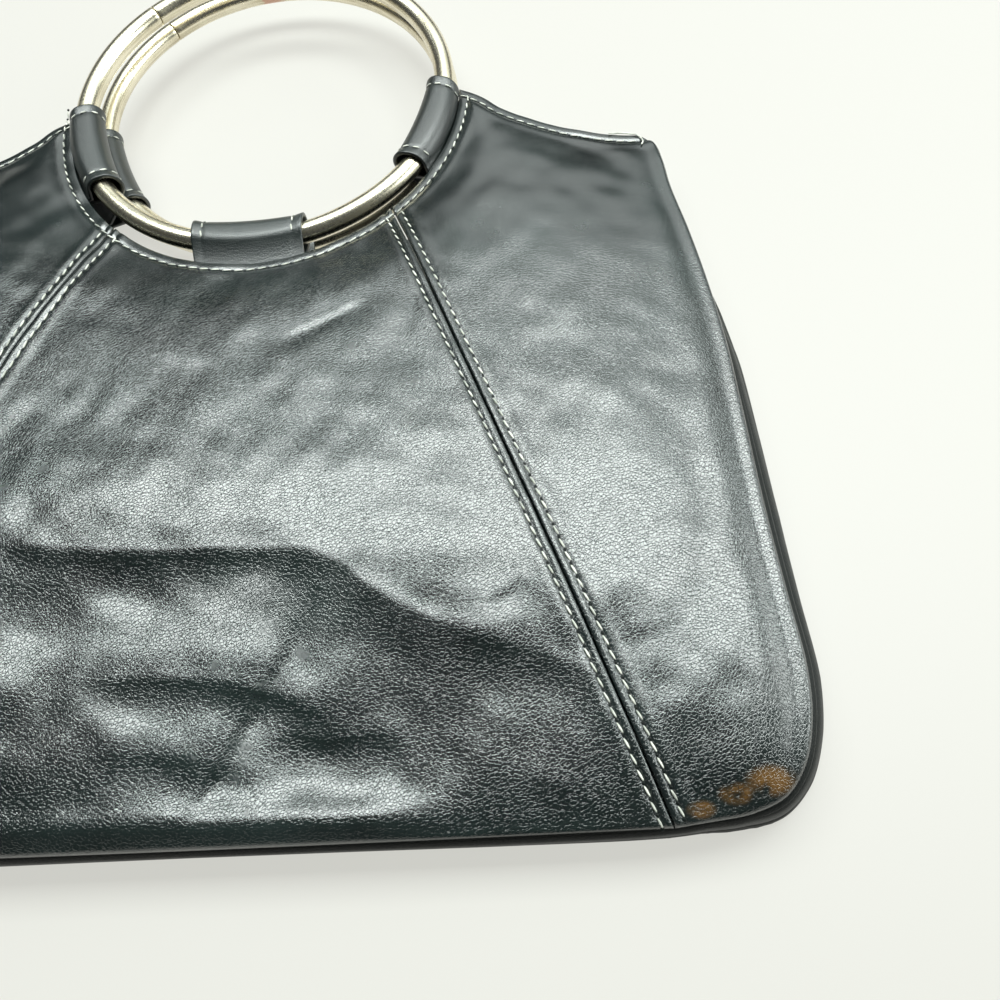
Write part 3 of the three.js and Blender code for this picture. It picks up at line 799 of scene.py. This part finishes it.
@dataclass
class Sleeve:
    """A straight leather loop sewn under a panel's edge, through which a ring turns."""

    name: str
    node: str
    plan: BagPlan
    ring: Ring
    angle: float
    length: float
    slack: float
    opening_rise: float
    upper_height: Callable[[Array, Array], Array]
    thickness: float = 1.1 * MM
    clearance: float = 0.3 * MM
    anchor: float = 9.0 * MM
    end_stitch: float = 3.0 * MM
    waist: float = 1.2 * MM
    flare: float = 0.35 * MM
    pinch: float = 0.16 * MM
    steps: tuple[int, int] = (90, 64)

    @property
    def wrap(self) -> float:
        """Radius of the sleeve's middle line round the rod."""
        return self.ring.rod + self.clearance + self.thickness / 2

    def section(self, along: float) -> tuple[Array, Array]:
        """Gives one section as distances out of the ring's middle, and heights.

        Args:
            along: Place along the sleeve from its middle.

        Returns:
            Distances outwards and heights of the middle line, from seam to seam.
        """
        radius = self.ring.radius
        offset = self.ring.center.y - self.plan.place.y - self.opening_rise
        outward = np.array([math.cos(self.angle), math.sin(self.angle)])
        on_ring = self.angle + math.asin(along / radius)
        tilt = math.asin(-self.ring.axis.y)
        rod = radius * (math.cos(on_ring) * outward[0] + math.sin(on_ring) * math.cos(tilt) * outward[1])
        level = self.ring.center.z + radius * math.sin(on_ring) * math.sin(tilt)
        start = along * np.array([-outward[1], outward[0]])
        axes = np.array([self.plan.opening_half_width, self.plan.opening_depth])
        begin = (start + np.array([0.0, offset])) / axes
        run = outward / axes
        cross, square = float(begin @ run), float(run @ run)
        edge = (math.sqrt(cross**2 + square * (1 - float(begin @ begin))) - cross) / square
        on_oval = begin + run * edge
        from_peak = self.plan.opening_depth * (self.plan.peak_angle - math.atan2(on_oval[1], abs(on_oval[0])))
        anchor = min(max(from_peak - 1.0 * MM, 0.5 * MM), self.anchor)
        place = start + edge * outward
        upper = float(self.upper_height(np.array([place[0]]), np.array([place[1] + offset]))[0])
        lower = upper - self.thickness - self.plan.seam_gap
        bend = edge - self.thickness / 2 - self.plan.seam_gap
        half = self.length / 2
        inner = math.sqrt(radius**2 - half**2) - self.slack + self.waist * (1 - (along / half) ** 2)

        def lean(height: float, side: int) -> float:
            out, up = bend - rod, height - level
            return math.atan2(up, out) + side * math.acos(min(1.0, self.wrap / math.hypot(out, up)))

        from_end = half - abs(along)
        flared = self.wrap + self.flare * math.exp(-((from_end / (1.7 * MM)) ** 2))
        flared -= self.pinch * math.exp(-(((from_end - self.end_stitch) / (0.8 * MM)) ** 2))
        turn = np.linspace(lean(upper, 1), lean(lower, -1) + 2 * math.pi, self.steps[1] - 9)
        inward = smooth_ramp(turn, math.radians(75), math.radians(105))
        inward = inward - smooth_ramp(turn, math.radians(255), math.radians(285))
        out = rod + (inner - rod) * inward + flared * np.cos(turn)
        up = level + flared * np.sin(turn)
        legs = np.linspace(edge + anchor, bend, 5)
        out = np.concatenate([legs, out, legs[::-1]])
        up = np.concatenate([np.full(5, upper), up, np.full(5, lower)])
        return out, up

    def surface(self, u: Array, v: Array) -> Array:
        """Lays the sleeve's middle sheet."""
        outward = np.array([math.cos(self.angle), math.sin(self.angle)])
        places = np.zeros((len(u), 3))
        for share in np.unique(u):
            along = (share - 0.5) * self.length
            out, up = self.section(along)
            mask = u == share
            spot = v[mask] * (len(out) - 1)
            index = np.arange(len(out))
            distance = np.interp(spot, index, out)
            places[mask, 0] = self.ring.center.x - outward[1] * along + outward[0] * distance
            places[mask, 1] = self.ring.center.y + outward[0] * along + outward[1] * distance
            places[mask, 2] = np.interp(spot, index, up)
        return places

    def build(self) -> bpy.types.Object:
        """Makes the sleeve."""
        made = mapped_grid(self.name, self.steps, self.surface)
        thicken(made, self.thickness, 0.0)
        return made

    def stitch(self, mesh: bmesh.types.BMesh) -> int:
        """Sews a row across the sleeve near each end.

        Args:
            mesh: The mesh that the stitches are added to.

        Returns:
            How many stitches were sewn.
        """
        total = 0
        thread = Thread(pitch=3.0 * MM, length=2.3 * MM, radius=0.30 * MM, lift=0.16 * MM)
        outward = np.array([math.cos(self.angle), math.sin(self.angle)])
        for end in (-1, 1):
            along = end * (self.length / 2 - self.end_stitch)
            out, up = self.section(along)
            keep = slice(6, len(out) - 8)
            run_out, run_up = np.gradient(out)[keep], np.gradient(up)[keep]
            norm = np.hypot(run_out, run_up)
            normal = np.stack([run_up / norm, -run_out / norm], 1)
            out = out[keep] + normal[:, 0] * self.thickness / 2
            up = up[keep] + normal[:, 1] * self.thickness / 2
            x = self.ring.center.x - outward[1] * along + outward[0] * out
            y = self.ring.center.y + outward[0] * along + outward[1] * out
            facing = np.stack([normal[:, 0] * outward[0], normal[:, 0] * outward[1], normal[:, 1]], 1)
            total += thread.sew(mesh, np.stack([x, y, up], 1), facing)
        return total


class Wire:
    """A socket's value in a node tree, with the operators that shader maths needs."""

    def __init__(self, tree: bpy.types.NodeTree, source: bpy.types.NodeSocket) -> None:
        """Keeps the tree and the socket."""
        self.tree = tree
        self.source = source

    def math(self, operation: str, *values: "Wire | float") -> "Wire":
        """Adds a Math node on this value and others."""
        node = self.tree.nodes.new("ShaderNodeMath")
        node.operation = operation
        for socket, value in zip(node.inputs, (self, *values)):
            if isinstance(value, Wire):
                self.tree.links.new(value.source, socket)
            else:
                socket.default_value = value
        return Wire(self.tree, node.outputs[0])

    def __add__(self, other: "Wire | float") -> "Wire":
        """Adds."""
        return self.math("ADD", other)

    __radd__ = __add__

    def __mul__(self, other: "Wire | float") -> "Wire":
        """Multiplies."""
        return self.math("MULTIPLY", other)

    __rmul__ = __mul__

    def __sub__(self, other: "Wire | float") -> "Wire":
        """Subtracts."""
        return self.math("SUBTRACT", other)

    def __rsub__(self, other: float) -> "Wire":
        """Subtracts from a number."""
        return (self * -1.0) + other

    def clamped(self) -> "Wire":
        """Keeps the value between 0 and 1."""
        return self.math("MAXIMUM", 0.0).math("MINIMUM", 1.0)


class Finish:
    """A material that is built up node by node."""

    def __init__(self, name: str) -> None:
        """Starts a material with its shader and output."""
        self.material = bpy.data.materials.new(name)
        self.material.use_nodes = True
        self.tree = self.material.node_tree
        self.tree.nodes.clear()
        self.output = self.tree.nodes.new("ShaderNodeOutputMaterial")
        self.shader = self.tree.nodes.new("ShaderNodeBsdfPrincipled")
        self.tree.links.new(self.shader.outputs[0], self.output.inputs[0])
        self.coordinates = Wire(self.tree, self.tree.nodes.new("ShaderNodeTexCoord").outputs["Object"])

    def node(self, kind: str, settings: dict | None = None, output: int | str = 0, **inputs: object) -> Wire:
        """Adds a node.

        Args:
            kind: The node's type.
            settings: Properties that are set first.
            output: The output that is wanted.
            **inputs: Values or wires of the node's sockets, with _ for a space in a name.

        Returns:
            The wanted output as a wire.
        """
        made = self.tree.nodes.new(kind)
        for key, value in (settings or {}).items():
            setattr(made, key, value)
        for key, value in inputs.items():
            socket = next(s for s in made.inputs if s.enabled and key in (s.identifier, s.name.replace(" ", "_")))
            self.feed(socket, value)
        return Wire(self.tree, made.outputs[output])

    def feed(self, socket: bpy.types.NodeSocket, value: object) -> None:
        """Links a wire to a socket, or sets its value."""
        if isinstance(value, Wire):
            self.tree.links.new(value.source, socket)
        else:
            socket.default_value = value

    def ramp(self, value: Wire, stops: Sequence[tuple[float, tuple[float, float, float]]]) -> Wire:
        """Turns a value into a colour through a ramp."""
        made = self.tree.nodes.new("ShaderNodeValToRGB")
        elements = made.color_ramp.elements
        while len(elements) < len(stops):
            elements.new(0.5)
        for element, (position, color) in zip(elements, stops):
            element.position = position
            element.color = (*color, 1.0)
        self.tree.links.new(value.source, made.inputs[0])
        return Wire(self.tree, made.outputs[0])

    def between(self, value: Wire, low: float, high: float) -> Wire:
        """Maps a value between two limits to 0 and 1, smoothly."""
        settings = {"interpolation_type": "SMOOTHSTEP"}
        return self.node("ShaderNodeMapRange", settings, Value=value, From_Min=low, From_Max=high)

    def blend(self, factor: Wire, first: object, second: object) -> Wire:
        """Mixes two colours."""
        made = self.tree.nodes.new("ShaderNodeMix")
        made.data_type = "RGBA"
        self.feed(made.inputs["Factor"], factor)
        self.feed(made.inputs[6], first)
        self.feed(made.inputs[7], second)
        return Wire(self.tree, made.outputs[2])

    def spot(self, place: Sequence[float], radius: float, stretch: Sequence[float]) -> Wire:
        """Gives 1 at a place of the object and 0 past a radius, with a soft edge."""
        moved = self.node(
            "ShaderNodeMapping", {"vector_type": "TEXTURE"}, Vector=self.coordinates, Location=place, Scale=stretch
        )
        length = self.node("ShaderNodeVectorMath", {"operation": "LENGTH"}, "Value", Vector=moved)
        return self.between(length, radius, radius * 0.35)


@dataclass(frozen=True)
class LeatherFinish:
    """Glossy black leather with a green cast, a fine pebbled grain and worn places."""

    name: str
    dark: tuple[float, float, float] = (0.004, 0.0065, 0.0061)
    light: tuple[float, float, float] = (0.010, 0.0180, 0.0170)
    rubbed: tuple[float, float, float] = (0.115, 0.056, 0.012)
    roughness: float = 0.24
    gloss: float = 1.0
    grain: float = 0.68 * MM
    grain_turn: float = math.radians(48)
    grain_stretch: float = 1.3
    grain_depth: float = 0.065 * MM
    smooth_from: float = 35.0 * MM

    def make(self, spots: Sequence[tuple[Sequence[float], float]]) -> bpy.types.Material:
        """Builds the material.

        Args:
            spots: Places and radii where the finish has rubbed through to tan.

        Returns:
            The material.
        """
        finish = Finish(self.name)
        where = finish.coordinates
        cloud = finish.node("ShaderNodeTexNoise", Vector=where, Scale=26.0, Detail=3.0)
        fine = finish.node("ShaderNodeTexNoise", Vector=where, Scale=210.0, Detail=4.0)
        color = finish.ramp(cloud, ((0.30, self.dark), (0.72, self.light)))
        for place, radius in spots:
            worn = finish.spot(place, radius, (1.3, 0.75, 3.0)) * finish.between(fine, 0.26, 0.56)
            color = finish.blend(worn, color, (*self.rubbed, 1.0))
        finish.feed(finish.shader.inputs["Base Color"], color)
        rough = cloud * 0.10 + fine * 0.10 + (self.roughness - 0.10)
        finish.feed(finish.shader.inputs["Roughness"], rough)
        stretched = finish.node(
            "ShaderNodeMapping",
            {"vector_type": "TEXTURE"},
            Vector=where,
            Rotation=(0.0, 0.0, self.grain_turn),
            Scale=(self.grain_stretch, 1.0, 1.0),
        )
        waver = finish.node("ShaderNodeTexNoise", {}, "Color", Vector=stretched, Scale=0.6 / self.grain, Detail=2.0)
        warped = finish.node(
            "ShaderNodeVectorMath",
            {"operation": "MULTIPLY_ADD"},
            Vector=waver,
            Vector_001=(self.grain, self.grain, self.grain),
            Vector_002=stretched,
        )
        cells = finish.node(
            "ShaderNodeTexVoronoi", {"feature": "DISTANCE_TO_EDGE"}, Vector=warped, Scale=1.0 / self.grain
        )
        hair = finish.node("ShaderNodeTexNoise", Vector=stretched, Scale=1.4 / self.grain, Detail=3.0)
        split = finish.node("ShaderNodeSeparateXYZ", {}, "Y", Vector=where)
        relief = 1.0 - finish.between(split, -self.smooth_from, self.smooth_from) * 0.75
        height = (finish.between(cells, 0.0, 0.16) * 0.55 + hair * 0.9) * relief
        bump = finish.node(
            "ShaderNodeBump", {}, "Normal", Height=height, Strength=1.0, Distance=self.grain_depth
        )
        finish.feed(finish.shader.inputs["Normal"], bump)
        finish.shader.inputs["Specular IOR Level"].default_value = self.gloss
        finish.shader.inputs["IOR"].default_value = 1.58
        return finish.material


@dataclass(frozen=True)
class MetalFinish:
    """Satin champagne plate, finely scratched along the rod and worn to copper in places."""

    name: str
    plate: tuple[float, float, float] = (0.90, 0.84, 0.67)
    dull: tuple[float, float, float] = (0.52, 0.46, 0.31)
    worn: tuple[float, float, float] = (0.66, 0.43, 0.33)

    def make(self) -> bpy.types.Material:
        """Builds the material."""
        finish = Finish(self.name)
        where = finish.coordinates
        flow = finish.node("ShaderNodeAttribute", {"attribute_name": Ring.flow}, "Vector")
        cloud = finish.node("ShaderNodeTexNoise", Vector=where, Scale=70.0, Detail=5.0)
        streak = finish.node("ShaderNodeTexNoise", Vector=flow, Scale=1500.0, Detail=3.0)
        pits = finish.node("ShaderNodeTexNoise", Vector=where, Scale=1400.0, Detail=3.0)
        dulled = finish.between(streak * 0.6 + cloud * 0.4, 0.42, 0.62)
        worn = finish.between(cloud * 0.85 + pits * 0.15, 0.61, 0.68)
        color = finish.blend(dulled * 0.7, (*self.plate, 1.0), (*self.dull, 1.0))
        color = finish.blend(worn, color, (*self.worn, 1.0))
        finish.feed(finish.shader.inputs["Base Color"], color)
        finish.shader.inputs["Metallic"].default_value = 1.0
        rough = worn * 0.15 + streak * 0.30 + pits * 0.12 + 0.06
        finish.feed(finish.shader.inputs["Roughness"], rough)
        height = streak * 0.8 + pits * 0.4
        bump = finish.node("ShaderNodeBump", {}, "Normal", Height=height, Strength=0.5, Distance=0.03 * MM)
        finish.feed(finish.shader.inputs["Normal"], bump)
        return finish.material


@dataclass(frozen=True)
class ThreadFinish:
    """Pale grey sewing thread, twisted and a little soiled."""

    name: str
    pale: tuple[float, float, float] = (0.80, 0.80, 0.71)
    soiled: tuple[float, float, float] = (0.34, 0.35, 0.31)

    def make(self) -> bpy.types.Material:
        """Builds the material."""
        finish = Finish(self.name)
        where = finish.coordinates
        cloud = finish.node("ShaderNodeTexNoise", Vector=where, Scale=160.0, Detail=3.0)
        finish.feed(finish.shader.inputs["Base Color"], finish.ramp(cloud, ((0.35, self.soiled), (0.6, self.pale))))
        finish.feed(finish.shader.inputs["Roughness"], cloud * 0.2 + 0.6)
        fibre = finish.node("ShaderNodeTexNoise", Vector=where, Scale=4000.0, Detail=2.0)
        bump = finish.node("ShaderNodeBump", {}, "Normal", Height=fibre, Strength=0.4, Distance=0.05 * MM)
        finish.feed(finish.shader.inputs["Normal"], bump)
        return finish.material


@dataclass
class Studio:
    """The pale table, the soft light and the camera at the photograph's angle."""

    plan: BagPlan
    camera_place: tuple[float, float, float] = (82.261, -244.777, 211.046)
    right: tuple[float, float, float] = (0.99724914, -0.03434516, -0.0656854)
    up: tuple[float, float, float] = (0.05941439, 0.90023453, 0.4313325)
    lens: float = 30.6
    sensor: float = 36.0
    tint: tuple[float, float, float] = (0.93, 1.0, 0.97)

    def camera(self) -> None:
        """Makes the camera and hands it to the scene."""
        data = bpy.data.cameras.new("camera")
        data.lens = self.lens
        data.sensor_width = self.sensor
        data.clip_start = 0.01
        camera = bpy.data.objects.new("camera", data)
        right = Vector(self.right).normalized()
        back = right.cross(Vector(self.up)).normalized()
        up = back.cross(right)
        turn = Matrix((right, up, back)).transposed().to_4x4()
        place = Vector(self.camera_place) * MM + Vector((self.plan.place.x, self.plan.place.y, 0.0))
        camera.matrix_world = Matrix.Translation(place) @ turn
        bpy.context.scene.collection.objects.link(camera)
        bpy.context.scene.camera = camera

    def floor(self) -> None:
        """Makes the pale table."""
        mesh = bmesh.new()
        bmesh.ops.create_grid(mesh, x_segments=1, y_segments=1, size=3.0)
        table = object_from(mesh, "table")
        finish = Finish("table_top")
        finish.shader.inputs["Base Color"].default_value = (0.14, 0.136, 0.127, 1.0)
        finish.shader.inputs["Emission Color"].default_value = (1.0, 1.0, 0.93, 1.0)
        finish.shader.inputs["Emission Strength"].default_value = 0.60
        finish.shader.inputs["Roughness"].default_value = 0.55
        table.data.materials.append(finish.material)

    def area(
        self, name: str, place: Sequence[float], facing: Vector, size: Sequence[float], luminance: float
    ) -> None:
        """Makes one soft rectangular light.

        Args:
            name: The light's name.
            place: Its middle.
            facing: The direction that it shines in.
            size: Its two sides.
            luminance: How bright its face looks, as radiance.
        """
        data = bpy.data.lights.new(name, "AREA")
        data.shape = "RECTANGLE"
        data.size, data.size_y = size
        data.energy = math.pi * size[0] * size[1] * luminance
        data.color = self.tint
        light = bpy.data.objects.new(name, data)
        turn = facing.to_track_quat("-Z", "Y").to_matrix().to_4x4()
        light.matrix_world = Matrix.Translation(Vector(place)) @ turn
        bpy.context.scene.collection.objects.link(light)

    def light(self) -> None:
        """Lights the table from above, brighter beyond the rings."""
        world = bpy.data.worlds.new("studio")
        world.use_nodes = True
        world.node_tree.nodes["Background"].inputs[0].default_value = (0.93, 0.97, 1.0, 1.0)
        world.node_tree.nodes["Background"].inputs[1].default_value = 0.06
        bpy.context.scene.world = world
        bpy.context.scene.view_settings.view_transform = "Standard"
        down = Vector((0.0, 0.0, -1.0))
        side = Vector((2.2, 0.2, 1.0))
        self.area("window", (0.1, 0.62, 1.6), down, (2.4, 0.74), 11.6)
        self.area("far_window", (1.07, 2.31, 1.6), down, (3.45, 2.44), 1.5)
        self.area("side_window", side, -side, (1.5, 1.0), 6.5)


def dress(made: bpy.types.Object, material: bpy.types.Material, slot: Slot, body: str, *nodes: str) -> None:
    """Gives a piece its material and body, and hides the imported parts of the nodes that it stands for."""
    made.data.materials.clear()
    made.data.materials.append(material)
    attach(made, body)
    if nodes:
        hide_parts(*nodes)
    LOG.info("%s: %d faces", made.name, len(made.data.polygons))


def sleeves_of(plan: BagPlan, face: str, ring: Ring, leather: LeatherFront) -> list[Sleeve]:
    """Lists the three sleeves of a face: centre, right and left."""
    thickness = Sleeve.thickness
    if face == "front":
        side_angle, slack, rise = math.radians(-19), 1.2 * MM, 0.0

        def upper(x: Array, y: Array) -> Array:
            return plan.base_height(x, y) - leather.thickness - plan.seam_gap - thickness / 2
    else:
        side_angle, slack = math.radians(-24), 0.2 * MM
        rise = float(plan.back_shift(np.array([plan.opening_depth / plan.drop]))[0])

        def upper(x: Array, y: Array) -> Array:
            return np.full(x.shape, leather.thickness + 2 * plan.seam_gap + 1.5 * thickness)

    angles = {"center": -math.pi / 2, "right": side_angle, "left": -math.pi - side_angle}
    return [
        Sleeve(
            name=f"{face}_sleeve_{where}",
            node=f"{face}_tab_{where}",
            plan=plan,
            ring=ring,
            angle=angle,
            length=(33.5 if where == "center" else 33.0) * MM,
            slack=slack,
            opening_rise=rise,
            upper_height=upper,
        )
        for where, angle in angles.items()
    ]


def main() -> None:
    """Builds the bag and its studio."""
    logging.basicConfig(level=logging.INFO, format="%(name)s: %(message)s")
    plan = BagPlan()
    studio = Studio(plan)
    studio.camera()
    studio.floor()
    studio.light()

    lift = plan.place.y
    rubbed = [
        ((0.1128, lift - 0.2272, 0.018), 0.0030),
        ((0.1205, lift - 0.2244, 0.018), 0.0036),
        ((0.1282, lift - 0.2220, 0.018), 0.0052),
    ]
    leather = LeatherFinish("black_leather").make(rubbed)
    # A darker, less glossy copy of the black leather: painted shade for the gusset beside the table and for the needle
    # holes.
    shaded_edge_leather = LeatherFinish("black_edge_leather", roughness=0.45, gloss=0.16, light=(0.005, 0.007, 0.006)).make(())
    loop_leather = LeatherFinish("black_loop_leather", roughness=0.36, gloss=0.8, smooth_from=1.0).make(())
    metal = MetalFinish("champagne_plate").make()
    thread = ThreadFinish("grey_thread").make()

    front = LeatherFront(plan)
    for piece, node in front.build():
        dress(piece, leather, Slot.LEATHER, "bag", node)
    topstitching, hole_shade = front.stitch()
    dress(topstitching, thread, Slot.THREAD, "bag")
    dress(hole_shade, shaded_edge_leather, Slot.LEATHER, "bag")
    for piece, node in LeatherBack(plan).build():
        dress(piece, leather, Slot.LEATHER, "bag", node)
    # The gusset wears the darker copy of the leather as painted shade.
    dress(Gusset(plan, front).build(), shaded_edge_leather, Slot.LEATHER, "bag", "gusset")

    rings = {
        "front": Ring("front_handle_ring", "front_ring", "front_ring_turn", "front_handle"),
        "back": Ring("back_handle_ring", "back_ring", "back_ring_turn", "back_handle"),
    }
    for face, ring in rings.items():
        dress(ring.build(), metal, Slot.METAL, ring.body, ring.node)
        mesh = bmesh.new()
        for sleeve in sleeves_of(plan, face, ring, front):
            dress(sleeve.build(), loop_leather, Slot.LEATHER, "bag", sleeve.node)
            sleeve.stitch(mesh)
        dress(object_from(mesh, f"{face}_sleeve_stitching"), thread, Slot.THREAD, "bag")


if __name__ == "__main__":
    main()
